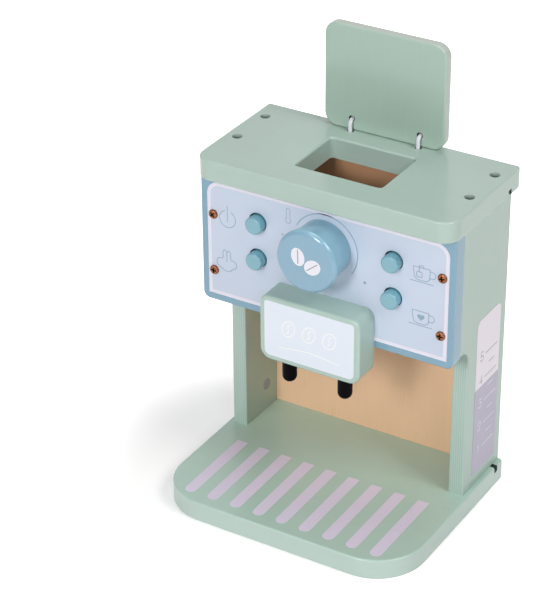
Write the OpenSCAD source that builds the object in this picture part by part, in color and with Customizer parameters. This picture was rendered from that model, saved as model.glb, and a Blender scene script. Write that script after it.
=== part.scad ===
// Wooden toy coffee maker: two plates and two uprights carry a blue front board
// with a turning knob and four sprung push buttons. A lid tied on with elastic
// cords closes the hatch in the top. The origin is on the floor, under the middle
// of the whole toy, and the front faces -Y.

/* [Plates] */
// Width of the base and the top plate
body_w = 190; // [180:1:200]
// Depth from the base's front edge to the top plate's rear edge
body_d = 156; // [152:1:164]
// Depth of the base plate
base_d = 152; // [148:1:156]
// Depth of the top plate
top_d = 96; // [94:1:100]
// Thickness of both plates
plate_t = 15; // [12:0.5:18]
// Height from the floor to the top plate's upper face
body_h = 240; // [230:1:255]
// Radius of the base's two front corners
base_corner_r = 36; // [20:1:45]
// Radius of the top plate's two front corners
top_corner_r = 12; // [6:1:16]
// Radius of the rear corners of both plates
rear_corner_r = 2.5; // [2:0.5:6]
// Rounding along the edges of the plates
plate_edge_r = 1.2; // [0.6:0.1:1.6]

/* [Uprights] */
// Thickness of the two side panels
side_t = 11; // [9:0.5:13]
// Step from the plates' edge in to a side panel's outer face
side_inset = 3.8; // [2:0.1:5]
// Depth of an upright below the head
post_d = 54.4; // [48:0.2:58]
// Radius of the inner corner under the head
cove_r = 9.6; // [6:0.2:14]
// Rounding along the edges of the side panels
side_edge_r = 1; // [0.5:0.1:1.5]
// Thickness of the back panel
back_t = 4; // [3:0.5:4]
// Step from the base's rear edge in to the back panel's rear face
back_inset = 9; // [8:0.5:10]
// Depth of the grooves that hold the back panel and the head's floor
groove_depth = 3.2; // [2.5:0.1:4]
// Thickness of the floor of the head
floor_t = 5; // [3:0.5:6]

/* [Front board] */
// Width of the front board
board_w = 189; // [187:0.5:189]
// Height of the front board
board_h = 94; // [90:1:98]
// Thickness of the front board
board_t = 11; // [10:0.5:12]
// Step from the top plate's front edge back to the board's face
board_setback = 8.6; // [6:0.2:10]
// How far the board, with its knob, buttons and spout, sits left of the middle
front_shift = 0.5; // [0:0.1:0.5]
// Rounding of the board's front edges
board_edge_r = 1.2; // [0.8:0.1:2]
// Radius of the board's lower corners
board_corner_r = 5; // [4.5:0.5:8]
// Width of the printed sheet
decal_w = 179.6; // [176:0.2:181]
// Margin of blue left under the printed sheet
decal_low_margin = 5.6; // [4:0.2:8]
// Margin of blue left over the printed sheet, under the top plate
decal_top_margin = 4; // [1:0.5:6]
// Radius of the printed sheet's upper corners
decal_corner_r = 9.5; // [6:0.5:14]

/* [Spout] */
// Width of the spout block
spout_w = 75; // [66:1:80]
// Height of the spout block
spout_h = 48.4; // [44:0.2:52]
// Depth of the spout block
spout_d = 20.2; // [16:0.2:24]
// How far the block hangs below the front board
spout_drop = 19.6; // [16:0.2:24]
// Radius of the block's upper corners
spout_corner_r = 6.5; // [4:0.5:9]
// Radius of the block's lower corners
spout_low_r = 8; // [4:0.5:9]
// Rounding of the block's front edge
spout_edge_r = 1.8; // [1:0.1:3]
// Distance between the two nozzles
nozzle_spacing = 42.4; // [36:0.2:48]
// Diameter of a nozzle
nozzle_dia = 10; // [8:0.5:12]
// Length of nozzle that shows below the block
nozzle_drop = 19.4; // [14:0.2:22]

/* [Knob and buttons] */
// Height of the knob's axis above the floor
knob_z = 195.4; // [192:0.2:197]
// Diameter of the knob at its back
knob_back_dia = 39; // [36:0.5:42]
// Diameter of the knob at its front
knob_front_dia = 44; // [42:0.5:45]
// Depth of the knob from the board's face
knob_depth = 25; // [20:0.1:28]
// Rounding of the knob's front rim
knob_rim_r = 3; // [2:0.5:4]
// Hollow turned into the knob's flank
knob_waist = 0.7; // [0.3:0.1:1]
// Diameter of the dowel that the knob turns on
axle_dia = 12; // [10:0.5:13]
// Distance from the middle to the buttons
button_x = 50.5; // [47:0.1:54]
// Height of the upper buttons above the floor
button_upper_z = 199.7; // [199:0.1:203]
// Height of the lower buttons above the floor
button_lower_z = 173.1; // [172:0.1:175]
// Diameter of a button
button_dia = 12.4; // [11:0.1:13]
// Diameter of the hole that a button shows through
button_hole_dia = 13.7; // [13.4:0.1:14]
// How far a button stands out at rest
button_proud = 6.7; // [4:0.1:8]
// How far a button can be pushed in
button_travel = 3; // [2:0.1:3]

/* [Hatch and lid] */
// Width of the hatch
hatch_w = 64; // [58:1:68]
// Depth of the hatch
hatch_d = 47.9; // [44:0.1:50]
// Distance from the top plate's front edge to the hatch
hatch_front = 23.4; // [22:0.2:25]
// Width of the lid
lid_w = 90; // [80:1:92]
// How far the lid hangs left of the middle
lid_shift = 1.5; // [0:0.5:3]
// Height of the lid when it stands open
lid_h = 74.2; // [66:0.1:76]
// Thickness of the lid
lid_t = 7.4; // [6.4:0.1:7.8]
// Radius of the lid's corners
lid_corner_r = 9; // [5:0.5:12]
// Rounding of the lid's edges
lid_edge_r = 1.4; // [0.6:0.1:2]
// Distance between the two elastic cords
cord_spacing = 51; // [44:0.5:58]
// Diameter of a cord
cord_dia = 3; // [2:0.1:3]

/* [Hidden] */
$fn = 64;

green = "#a9c9b5";
blue = "#8fb7c9";
pale_blue = "#c9d6e6";
teal = "#7db9bd";
bare_wood = "#dcb893";
bronze = "#8a5a33";
steel = "#b8bcc0";
black = "#1a1a1e";
white = "#e9e7f2";

// gaps
slip = 0.05;     // round a pin, dowel or screw in its own hole
sheet_gap = 0.1; // beside a thin sheet in its groove
free_gap = 0.3;  // between pieces that move past each other

// plates, front to rear and bottom to top
base_front = -body_d / 2;
base_rear = base_front + base_d;
top_rear = body_d / 2;
top_front = top_rear - top_d;
top_z0 = body_h - plate_t;
half_w = body_w / 2;

// uprights
side_outer_x = half_w - side_inset;
side_inner_x = side_outer_x - side_t;
post_front = base_rear - post_d;
back_rear_y = base_rear - back_inset;
back_front_y = back_rear_y - back_t;
groove_z = 4.5;  // depth of the plates' grooves

// front board
front_x = -front_shift;
board_front = top_front + board_setback;
board_back = board_front + board_t;
board_z0 = top_z0 - board_h;
decal_t = 0.3;
decal_low_r = 0.6;    // radius of the sheet's lower corners
decal_front = board_front - decal_t;
decal_z0 = board_z0 + decal_low_margin;
decal_z1 = top_z0 - decal_top_margin;

// floor of the head
floor_z0 = board_z0 + 6;

// spout
spout_z0 = board_z0 - spout_drop;
spout_z1 = spout_z0 + spout_h;
spout_front = board_front - spout_d;
nozzle_y = board_front - 9.1;
nozzle_seat = 10;
label_t = 0.2;
label_margin_x = 3.8;
label_margin_z = [4, 3.2];
label_corner_r = [4, 2];

// screws
screw_r = 1.6;
screw_clear_r = 1.9;
pan_r = 3.3;
pan_h = 1.7;
pocket_r = 3.5;
pocket_depth = 7;
tip_h = 3;
front_screw_x = half_w - 9.8;
front_screw_z = [board_z0 + 23.8, board_z0 + 65.8];
front_screw_len = 26;
plate_screw_x = half_w - 9;
top_screw_y = [top_front + 40.3, top_front + 76];
base_screw_y = [post_front + 12, post_front + 35];
plate_screw_len = 28;
spout_screw_x = 22;
spout_screw_z = board_z0 + 20;
spout_screw_len = 22;

// knob
knob_back_y = decal_front - free_gap;
knob_h = knob_depth - decal_t - free_gap;
axle_r = axle_dia / 2;
axle_seat = 14;
axle_end_y = board_back + free_gap;
washer_r = 10;
washer_t = 1;
knob_screw_len = 16;

// buttons
button_r = button_dia / 2;
button_hole_r = button_hole_dia / 2;
board_wall = 5;        // front wall of the board that a button's flange stops on
flange_bore_r = 9.5;
flange_r = 8.7;
button_sag = 0.4;      // a button rests this much below the middle of its hole
flange_t = 2.3;
flange_gap = 0.2;
flange_front_y = board_front + board_wall + flange_gap;
flange_back_y = flange_front_y + flange_t;
button_front_y = board_front - button_proud;
button_edge_r = 1.3;
button_skin = 3;
spring_bore_r = 3.7;
spring_seat_y = button_front_y + button_skin;
spring_r = 2.9;
wire_r = 0.4;
spring_turns = 8;
spring_steps = 12;     // stations in one turn
spring_sides = 6;
keeper_w = 24;
keeper_t = 6;
keeper_margin = 18;
keeper_z0 = button_lower_z - keeper_margin;
keeper_z1 = button_upper_z + keeper_margin;
keeper_screw_z = [keeper_z0 + 4.5, keeper_z1 - 4.5];
keeper_screw_len = 13;

// hatch and lid
hatch_y0 = top_front + hatch_front;
hatch_y1 = hatch_y0 + hatch_d;
hatch_corner_r = 2.5;
hatch_edge_r = 1.5;
lid_front_y = back_rear_y + 4.1;
lid_z0 = body_h + free_gap;
lid_z1 = lid_z0 + lid_h;
cord_r = cord_dia / 2;
cord_hole_y = lid_front_y - 1.2;
cord_hole_r = 2.5;
lid_hole_z = lid_z0 + 8.1;
lid_hole_r = 2.3;
knot_r = 3.1;
knot_pocket_r = 3.7;
knot_pocket_depth = 4.5;
knot_low = [cord_hole_y + 0.4, top_z0 - knot_r - slip];
knot_rear = [lid_front_y + 5.5, lid_hole_z];

// label and plug on the side panels
side_label_y = [post_front + 12.4, post_front + 46.4];
side_label_z = [23.5, 144.5];
plug_y = 47;
plug_z = 35;
plug_r = 4.2;
plug_depth = 7;
plug_proud = 0.4;

// ---- outlines and softened slabs ----

// Rectangle from [x0, y0] to [x1, y1] with one radius at y0 and another at y1
module round_rect(x0, x1, y0, y1, r0, r1) {
    translate([x0, y0 + r0]) square([x1 - x0, y1 - y0 - r0 - r1]);
    translate([x0 + r0, y0]) square([x1 - x0 - 2 * r0, r0]);
    translate([x0 + r1, y1 - r1]) square([x1 - x0 - 2 * r1, r1]);
    for (x = [x0 + r0, x1 - r0]) translate([x, y0 + r0]) circle(r0);
    for (x = [x0 + r1, x1 - r1]) translate([x, y1 - r1]) circle(r1);
}

// Quarter of a disc, the section of a softened edge
module quarter(r) {
    intersection() {
        circle(r);
        square(r);
    }
}

// Straight softened edge along +X, its round side towards +Y and +Z
module edge_strip(length, r) {
    rotate([90, 0, 90]) linear_extrude(length) quarter(r);
}

// Softened edge round a quarter of a corner
module edge_corner(corner_r, r) {
    rotate_extrude(angle = 90) translate([corner_r - r, 0]) quarter(r);
}

// Softened rim of a rounded rectangle, standing on z = 0
module edge_ring(x0, x1, y0, y1, r0, r1, e) {
    translate([x0 + r1, y1 - e, 0]) edge_strip(x1 - x0 - 2 * r1, e);
    translate([x1 - r0, y0 + e, 0]) rotate(180) edge_strip(x1 - x0 - 2 * r0, e);
    translate([x1 - e, y1 - r1, 0]) rotate(-90) edge_strip(y1 - y0 - r0 - r1, e);
    translate([x0 + e, y0 + r0, 0]) rotate(90) edge_strip(y1 - y0 - r0 - r1, e);
    translate([x1 - r1, y1 - r1, 0]) edge_corner(r1, e);
    translate([x0 + r1, y1 - r1, 0]) rotate(90) edge_corner(r1, e);
    translate([x0 + r0, y0 + r0, 0]) rotate(180) edge_corner(r0, e);
    translate([x1 - r0, y0 + r0, 0]) rotate(270) edge_corner(r0, e);
}

// Board of thickness t with a softened rim: e0 on its lower face, e1 on its upper
module soft_slab(x0, x1, y0, y1, t, r0, r1, e0, e1) {
    translate([0, 0, e0]) linear_extrude(t - e0 - e1) round_rect(x0, x1, y0, y1, r0, r1);
    if (e0 > 0) {
        linear_extrude(e0) round_rect(x0 + e0, x1 - e0, y0 + e0, y1 - e0, r0 - e0, r1 - e0);
        translate([0, 0, e0]) mirror([0, 0, 1]) edge_ring(x0, x1, y0, y1, r0, r1, e0);
    }
    if (e1 > 0) {
        translate([0, 0, t - e1]) {
            linear_extrude(e1) round_rect(x0 + e1, x1 - e1, y0 + e1, y1 - e1, r0 - e1, r1 - e1);
            edge_ring(x0, x1, y0, y1, r0, r1, e1);
        }
    }
}

// Stands a flat shape up: its Y becomes Z, and its thickness runs forward from y_back
module upright(y_back) {
    translate([0, y_back, 0]) rotate([90, 0, 0]) children();
}

// ---- fasteners ----

// Pan head screw along -Z, the underside of its head at the origin
module pan_screw(length, head_r = pan_r) {
    rotate_extrude() {
        square([head_r - 1, pan_h]);
        square([head_r, pan_h - 1]);
        translate([head_r - 1, pan_h - 1]) quarter(1);
    }
    translate([0, 0, tip_h - length]) cylinder(h = length - tip_h, r = screw_r);
    translate([0, 0, -length]) cylinder(h = tip_h, r1 = 0.3, r2 = screw_r);
}

// Hole for the part of a screw that bites, from the origin down -Z
module pilot(length) {
    translate([0, 0, -length - 0.5]) cylinder(h = length + 0.5, r = screw_r + slip);
}

module at_plate_screws(ys) {
    for (side = [-1, 1]) for (y = ys) translate([side * plate_screw_x, y, 0]) children();
}

module at_front_screws() {
    for (side = [-1, 1]) for (z = front_screw_z) translate([side * front_screw_x, 0, z]) children();
}

// ---- plates ----

// Groove for the back panel across a whole plate, running 1 mm out of its open side
module back_groove(z0) {
    translate([-half_w - 1, back_front_y - sheet_gap, z0])
        cube([body_w + 2, back_t + 2 * sheet_gap, groove_z + 1]);
}

module base_plate() {
    color(green) difference() {
        translate([0, base_front, 0])
            soft_slab(-half_w, half_w, 0, base_d, plate_t, base_corner_r, rear_corner_r,
                plate_edge_r, plate_edge_r);
        back_groove(plate_t - groove_z);
        at_plate_screws(base_screw_y) {
            translate([0, 0, -1]) cylinder(h = pocket_depth + 1, r = pocket_r);
            cylinder(h = plate_t + 1, r = screw_clear_r);
        }
    }
}

// Outline of the hatch, grown by a margin
module hatch_outline(grow = 0) {
    round_rect(-hatch_w / 2 - grow, hatch_w / 2 + grow, hatch_y0 - grow, hatch_y1 + grow,
        hatch_corner_r + grow, hatch_corner_r + grow);
}

// Softened upper edge of the hatch, standing on z = 0
module hatch_rim() {
    e = hatch_edge_r;
    r = hatch_corner_r;
    x1 = hatch_w / 2;
    run_x = hatch_w - 2 * r;
    run_y = hatch_d - 2 * r;
    translate([-x1 + r, hatch_y0 - e, 0]) edge_strip(run_x, e);
    translate([x1 - r, hatch_y1 + e, 0]) rotate(180) edge_strip(run_x, e);
    translate([x1 + e, hatch_y0 + r, 0]) rotate(90) edge_strip(run_y, e);
    translate([-x1 - e, hatch_y1 - r, 0]) rotate(-90) edge_strip(run_y, e);
    for (corner = [[x1 - r, hatch_y1 - r, 0], [-x1 + r, hatch_y1 - r, 90],
            [-x1 + r, hatch_y0 + r, 180], [x1 - r, hatch_y0 + r, 270]])
        translate([corner[0], corner[1], 0]) rotate(corner[2])
            rotate_extrude(angle = 90) translate([r + e, 0]) mirror([1, 0]) quarter(e);
}

module top_plate() {
    color(green) {
        difference() {
            translate([0, top_front, top_z0])
                soft_slab(-half_w, half_w, 0, top_d, plate_t, top_corner_r, rear_corner_r,
                    plate_edge_r, plate_edge_r);
            translate([0, 0, top_z0 - 1]) linear_extrude(plate_t + 2) hatch_outline();
            translate([0, 0, body_h - hatch_edge_r])
                linear_extrude(hatch_edge_r + 1) hatch_outline(hatch_edge_r);
            back_groove(top_z0 - 1);
            at_plate_screws(top_screw_y) {
                translate([0, 0, body_h - pocket_depth]) cylinder(h = pocket_depth + 1, r = pocket_r);
                translate([0, 0, top_z0 - 1]) cylinder(h = plate_t, r = screw_clear_r);
            }
            for (side = [-1, 1])
                translate([side * cord_spacing / 2, cord_hole_y, top_z0 - 1])
                    cylinder(h = plate_t + 2, r = cord_hole_r);
        }
        translate([0, 0, body_h - hatch_edge_r]) hatch_rim();
    }
}

module top_screws() {
    color(bronze) at_plate_screws(top_screw_y)
        translate([0, 0, body_h - pocket_depth]) pan_screw(plate_screw_len, pan_r - 0.2);
}

module base_screws() {
    color(bronze) at_plate_screws(base_screw_y)
        translate([0, 0, pocket_depth]) mirror([0, 0, 1]) pan_screw(plate_screw_len, pan_r - 0.2);
}

// ---- uprights, back and floor ----

// Outline of an upright, seen from the right: a post with the head reaching forward
module side_outline() {
    translate([post_front, plate_t]) square([post_d, top_z0 - plate_t]);
    translate([board_back, board_z0]) square([post_front - board_back, top_z0 - board_z0]);
    difference() {
        translate([post_front - cove_r, board_z0 - cove_r]) square(cove_r);
        translate([post_front - cove_r, board_z0 - cove_r]) circle(cove_r);
    }
}

// What rounding leaves over of a square corner, with 1 mm more outside
module corner_waste(r) {
    difference() {
        square(r + 1);
        circle(r);
    }
}

// Cutters that round the edges of an upright on its +X face, at x = 0
module side_edge_cuts() {
    e = side_edge_r;
    translate([-e, post_front + e, plate_t - 1]) rotate(-90)
        linear_extrude(board_z0 - cove_r - plate_t + 1) corner_waste(e);
    translate([-e, base_rear - e, plate_t - 1])
        linear_extrude(top_z0 - plate_t + 2) corner_waste(e);
    translate([-e, board_back - 1, board_z0 + e]) rotate([-90, 0, 0])
        linear_extrude(post_front - cove_r - board_back + 1) corner_waste(e);
    translate([0, post_front - cove_r, board_z0 - cove_r]) rotate([90, 0, 90])
        rotate_extrude(angle = 90)
            translate([cove_r + e, -e]) mirror([1, 0]) corner_waste(e);
}

// The right upright; the left one is its mirror image
module side_panel() {
    difference() {
        translate([side_inner_x, 0, 0]) rotate([90, 0, 90]) linear_extrude(side_t) side_outline();
        translate([side_outer_x, 0, 0]) side_edge_cuts();
        translate([side_inner_x, 0, 0]) mirror([1, 0, 0]) side_edge_cuts();
        translate([side_inner_x - 1, back_front_y - sheet_gap, plate_t - 1])
            cube([groove_depth + 1, back_t + 2 * sheet_gap, top_z0 - plate_t + 2]);
        translate([side_inner_x - 1, board_back - 1, floor_z0 - sheet_gap])
            cube([groove_depth + 1, back_front_y - board_back + 1, floor_t + 2 * sheet_gap]);
        for (y = top_screw_y) translate([plate_screw_x, y, body_h - pocket_depth]) pilot(plate_screw_len);
        for (y = base_screw_y)
            translate([plate_screw_x, y, pocket_depth]) mirror([0, 0, 1]) pilot(plate_screw_len);
        for (z = front_screw_z)
            translate([front_screw_x, decal_front, z]) rotate([90, 0, 0]) pilot(front_screw_len);
    }
}

module side_panel_right() {
    color(green) side_panel();
}

module side_panel_left() {
    color(green) difference() {
        mirror([1, 0, 0]) side_panel();
        translate([-side_inner_x - plug_depth, plug_y, plug_z])
            rotate([0, 90, 0]) cylinder(h = plug_depth + 1, r = plug_r + slip);
    }
}

module panel_plug() {
    color("#8d9a94") translate([-side_inner_x - plug_depth, plug_y, plug_z])
        rotate([0, 90, 0]) cylinder(h = plug_depth + plug_proud, r = plug_r);
}

module back_panel() {
    half = side_inner_x + groove_depth - sheet_gap;
    color(bare_wood)
        translate([-half, back_front_y, plate_t - groove_z])
            cube([2 * half, back_t, top_z0 - plate_t + 2 * groove_z - sheet_gap]);
}

module head_floor() {
    half = side_inner_x + groove_depth - sheet_gap;
    color(bare_wood)
        translate([-half, board_back, floor_z0])
            cube([2 * half, back_front_y - board_back, floor_t]);
}

module side_label() {
    color(white)
        translate([side_outer_x, 0, 0]) rotate([90, 0, 90]) linear_extrude(label_t)
            translate([side_label_y[0], side_label_z[0]])
                square([side_label_y[1] - side_label_y[0], side_label_z[1] - side_label_z[0]]);
}

// ---- front board ----

module at_buttons() {
    for (side = [-1, 1]) for (z = [button_lower_z, button_upper_z])
        translate([front_x + side * button_x, 0, z]) children();
}

// Round hole along Y
module y_bore(y0, y1, r) {
    translate([0, y1, 0]) rotate([90, 0, 0]) cylinder(h = y1 - y0, r = r);
}

module front_board() {
    half = board_w / 2;
    over = 2 * board_corner_r;
    color(blue) difference() {
        upright(board_back)
            soft_slab(front_x - half, front_x + half, board_z0, top_z0 + over, board_t,
                board_corner_r, board_corner_r, 0, board_edge_r);
        translate([front_x - half - 1, board_front - 1, top_z0])
            cube([board_w + 2, board_t + 2, over + 1]);
        at_buttons() {
            y_bore(board_front - 1, board_back, button_hole_r);
            y_bore(board_front + board_wall, board_back + 1, flange_bore_r);
        }
        translate([front_x, 0, knob_z]) y_bore(board_front - 1, board_back + 1, axle_r + slip);
        at_front_screws() y_bore(board_front - 1, board_back + 1, screw_clear_r);
        at_spout_screws() y_bore(board_front - 1, board_back + 1, screw_clear_r);
        at_keeper_screws() translate([0, board_back + keeper_t, 0])
            rotate([-90, 0, 0]) pilot(keeper_screw_len);
    }
}

module front_decal() {
    half = decal_w / 2;
    gap = sheet_gap;
    color(pale_blue) difference() {
        upright(board_front)
            linear_extrude(decal_t)
                difference() {
                    round_rect(-half, half, decal_z0, decal_z1, decal_low_r, decal_corner_r);
                    spout_outline(gap);
                }
        at_buttons() y_bore(decal_front - 1, board_front + 1, button_hole_r);
        translate([front_x, 0, knob_z]) y_bore(decal_front - 1, board_front + 1, axle_r + 1);
        at_front_screws() y_bore(decal_front - 1, board_front + 1, screw_clear_r);
    }
}

module front_screws() {
    color(bronze) at_front_screws()
        translate([0, decal_front, 0]) rotate([90, 0, 0]) pan_screw(front_screw_len);
}

// ---- spout ----

// Outline of the block from the front, grown by a margin
module spout_outline(grow = 0) {
    half = spout_w / 2 + grow;
    round_rect(front_x - half, front_x + half, spout_z0 - grow, spout_z1 + grow,
        spout_low_r + grow, spout_corner_r + grow);
}

module at_spout_screws() {
    for (side = [-1, 1])
        translate([front_x + side * spout_screw_x, 0, spout_screw_z]) children();
}

module spout_block() {
    half = spout_w / 2;
    color(green) difference() {
        upright(board_front)
            soft_slab(front_x - half, front_x + half, spout_z0, spout_z1, spout_d, spout_low_r,
                spout_corner_r, 0, spout_edge_r);
        for (side = [-1, 1])
            translate([front_x + side * nozzle_spacing / 2, nozzle_y, spout_z0 - 1])
                cylinder(h = nozzle_seat + 1, r = nozzle_dia / 2 + slip);
        at_spout_screws() translate([0, board_back, 0]) rotate([-90, 0, 0]) pilot(spout_screw_len);
    }
}

module spout_label() {
    half = spout_w / 2 - label_margin_x;
    color(white)
        upright(spout_front)
            linear_extrude(label_t)
                round_rect(front_x - half, front_x + half, spout_z0 + label_margin_z[0],
                    spout_z1 - label_margin_z[1], label_corner_r[0], label_corner_r[1]);
}

module spout_screws() {
    color(bronze) at_spout_screws()
        translate([0, board_back, 0]) rotate([-90, 0, 0]) pan_screw(spout_screw_len);
}

// Round-ended peg, seated in the block
module nozzle(side) {
    r = nozzle_dia / 2;
    color(black)
        translate([front_x + side * nozzle_spacing / 2, nozzle_y, spout_z0 - nozzle_drop + r]) {
            cylinder(h = nozzle_drop + nozzle_seat - r, r = r);
            rotate_extrude() mirror([0, 1]) quarter(r);
        }
}

module nozzle_left() {
    nozzle(-1);
}

module nozzle_right() {
    nozzle(1);
}

// ---- knob ----

// Angle of the knob's flank: the line from its back rim that touches the front rounding
knob_cx = knob_front_dia / 2 - knob_rim_r - knob_back_dia / 2;
knob_cy = knob_h - knob_rim_r;
knob_taper = acos(-knob_rim_r / norm([knob_cx, knob_cy])) - atan2(knob_cy, knob_cx);

// Half section of the knob, its back on y = 0
module knob_section() {
    rim_x = knob_front_dia / 2 - knob_rim_r;
    touch = [rim_x + knob_rim_r * cos(knob_taper), knob_cy - knob_rim_r * sin(knob_taper)];
    back = [knob_back_dia / 2, 0];
    chord = norm(touch - back);
    hollow_r = (chord * chord / 4 + knob_waist * knob_waist) / (2 * knob_waist);
    difference() {
        polygon([[0, 0], back, touch, [rim_x, knob_cy], [rim_x, knob_h], [0, knob_h]]);
        translate((back + touch) / 2 + (hollow_r - knob_waist) * [cos(knob_taper), -sin(knob_taper)])
            circle(hollow_r, $fn = 360);
    }
    translate([rim_x, knob_cy]) intersection() {
        circle(knob_rim_r);
        polygon([[0, 0], 2 * knob_rim_r * [cos(knob_taper), -sin(knob_taper)],
            [2 * knob_rim_r, 2 * knob_rim_r], [0, 2 * knob_rim_r]]);
    }
}

module knob() {
    color(blue) translate([front_x, knob_back_y, knob_z]) difference() {
        rotate([90, 0, 0]) rotate_extrude() knob_section();
        y_bore(-axle_seat, 1, axle_r + slip);
    }
}

module knob_axle() {
    color(bare_wood) translate([front_x, 0, knob_z]) difference() {
        y_bore(knob_back_y - axle_seat, axle_end_y, axle_r);
        translate([0, axle_end_y + washer_t, 0]) rotate([-90, 0, 0]) pilot(knob_screw_len);
    }
}

module knob_washer() {
    color(steel) translate([front_x, 0, knob_z]) difference() {
        y_bore(axle_end_y, axle_end_y + washer_t, washer_r);
        y_bore(axle_end_y - 1, axle_end_y + washer_t + 1, screw_clear_r);
    }
}

module knob_screw() {
    color(bronze) translate([front_x, axle_end_y + washer_t, knob_z])
        rotate([-90, 0, 0]) pan_screw(knob_screw_len);
}

// ---- buttons ----

// Half section of a button, its front face at the top
module button_section() {
    front_h = flange_back_y - button_front_y;
    difference() {
        union() {
            square([flange_r, flange_t]);
            square([button_r, front_h - button_edge_r]);
            square([button_r - button_edge_r, front_h]);
            translate([button_r - button_edge_r, front_h - button_edge_r]) quarter(button_edge_r);
        }
        translate([0, -1]) square([spring_bore_r, front_h - button_skin + 1]);
    }
}

module button(side, z) {
    color(teal) translate([front_x + side * button_x, flange_back_y, z - button_sag])
        rotate([90, 0, 0]) rotate_extrude() button_section();
}

module button_upper_left() {
    button(-1, button_upper_z);
}

module button_lower_left() {
    button(-1, button_lower_z);
}

module button_upper_right() {
    button(1, button_upper_z);
}

module button_lower_right() {
    button(1, button_lower_z);
}

// Tube of radius r along a list of points, with its rings square to the path
module swept_tube(path, r, sides, across) {
    count = len(path);
    function tangent(i) =
        let (a = path[max(i - 1, 0)], b = path[min(i + 1, count - 1)]) (b - a) / norm(b - a);
    function ring(i) =
        let (t = tangent(i), u = cross(across, t) / norm(cross(across, t)), v = cross(t, u))
        [for (k = [0 : sides - 1])
            path[i] + r * (cos(360 * k / sides) * u + sin(360 * k / sides) * v)];
    points = [for (i = [0 : count - 1]) each ring(i)];
    walls = [for (i = [0 : count - 2]) for (k = [0 : sides - 1])
        let (n = (k + 1) % sides)
        each [
            [i * sides + k, (i + 1) * sides + k, (i + 1) * sides + n],
            [i * sides + k, (i + 1) * sides + n, i * sides + n]
        ]];
    cap0 = [[for (k = [0 : sides - 1]) k]];
    cap1 = [[for (k = [sides - 1 : -1 : 0]) (count - 1) * sides + k]];
    polyhedron(points, concat(walls, cap0, cap1));
}

// Coil spring between a button's bore and its keeper
module spring(side, z) {
    y0 = spring_seat_y + wire_r + slip;
    y1 = board_back - wire_r - slip;
    steps = spring_turns * spring_steps;
    path = [for (i = [0 : steps])
        [spring_r * cos(360 * i / spring_steps), y0 + (y1 - y0) * i / steps,
            spring_r * sin(360 * i / spring_steps)]];
    color(steel) translate([front_x + side * button_x, 0, z - button_sag])
        swept_tube(path, wire_r, spring_sides, [0, 1, 0]);
}

module spring_upper_left() {
    spring(-1, button_upper_z);
}

module spring_lower_left() {
    spring(-1, button_lower_z);
}

module spring_upper_right() {
    spring(1, button_upper_z);
}

module spring_lower_right() {
    spring(1, button_lower_z);
}

module at_keeper_screws() {
    for (side = [-1, 1]) for (z = keeper_screw_z)
        translate([front_x + side * button_x, 0, z]) children();
}

// Strip behind the front board that two springs push on
module button_keeper(side) {
    color(bare_wood) difference() {
        translate([front_x + side * button_x - keeper_w / 2, board_back, keeper_z0])
            cube([keeper_w, keeper_t, keeper_z1 - keeper_z0]);
        at_keeper_screws() y_bore(board_back - 1, board_back + keeper_t + 1, screw_clear_r);
    }
}

module button_keeper_left() {
    button_keeper(-1);
}

module button_keeper_right() {
    button_keeper(1);
}

module keeper_screws() {
    color(bronze) at_keeper_screws()
        translate([0, board_back + keeper_t, 0]) rotate([-90, 0, 0]) pan_screw(keeper_screw_len);
}

// ---- lid ----

module lid() {
    half = lid_w / 2;
    color(green) difference() {
        upright(lid_front_y + lid_t)
            soft_slab(-lid_shift - half, -lid_shift + half, lid_z0, lid_z1, lid_t,
                lid_corner_r, lid_corner_r, lid_edge_r, lid_edge_r);
        for (side = [-1, 1]) translate([side * cord_spacing / 2, 0, lid_hole_z]) {
            y_bore(lid_front_y - 1, lid_front_y + lid_t + 1, lid_hole_r);
            y_bore(lid_front_y + lid_t - knot_pocket_depth, lid_front_y + lid_t + 1, knot_pocket_r);
        }
    }
}

// A cord's route in [y, z], from the knot under the top plate, up through the plate
// and in at the lid's front face to the knot sunk in the lid's back
cord_route = [
    [67.1, 222], [67.1, 230], [67.1, 238], [67, 241.5], [66.9, 244], [67.1, 246],
    [67.9, 247.6], [69.2, 248.4], [71.5, 248.4], [74, 248.4]
];

module hinge_cord(side) {
    x = side * cord_spacing / 2;
    color(white) {
        swept_tube([for (p = cord_route) [x, p[0], p[1]]], cord_r, 8, [1, 0, 0]);
        translate([x, knot_low[0], knot_low[1]]) sphere(knot_r);
        translate([x, knot_rear[0], knot_rear[1]]) sphere(knot_r);
    }
}

module hinge_cord_left() {
    hinge_cord(-1);
}

module hinge_cord_right() {
    hinge_cord(1);
}

base_plate();
top_plate();
side_panel_left();
side_panel_right();
back_panel();
head_floor();
front_board();
front_decal();
front_screws();
top_screws();
base_screws();
panel_plug();
side_label();
spout_block();
spout_label();
spout_screws();
nozzle_left();
nozzle_right();
button_keeper_left();
button_keeper_right();
keeper_screws();
knob();
knob_axle();
knob_washer();
knob_screw();
button_upper_left();
button_lower_left();
button_upper_right();
button_lower_right();
spring_upper_left();
spring_lower_left();
spring_upper_right();
spring_lower_right();
lid();
hinge_cord_left();
hinge_cord_right();
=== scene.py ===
import math

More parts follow.
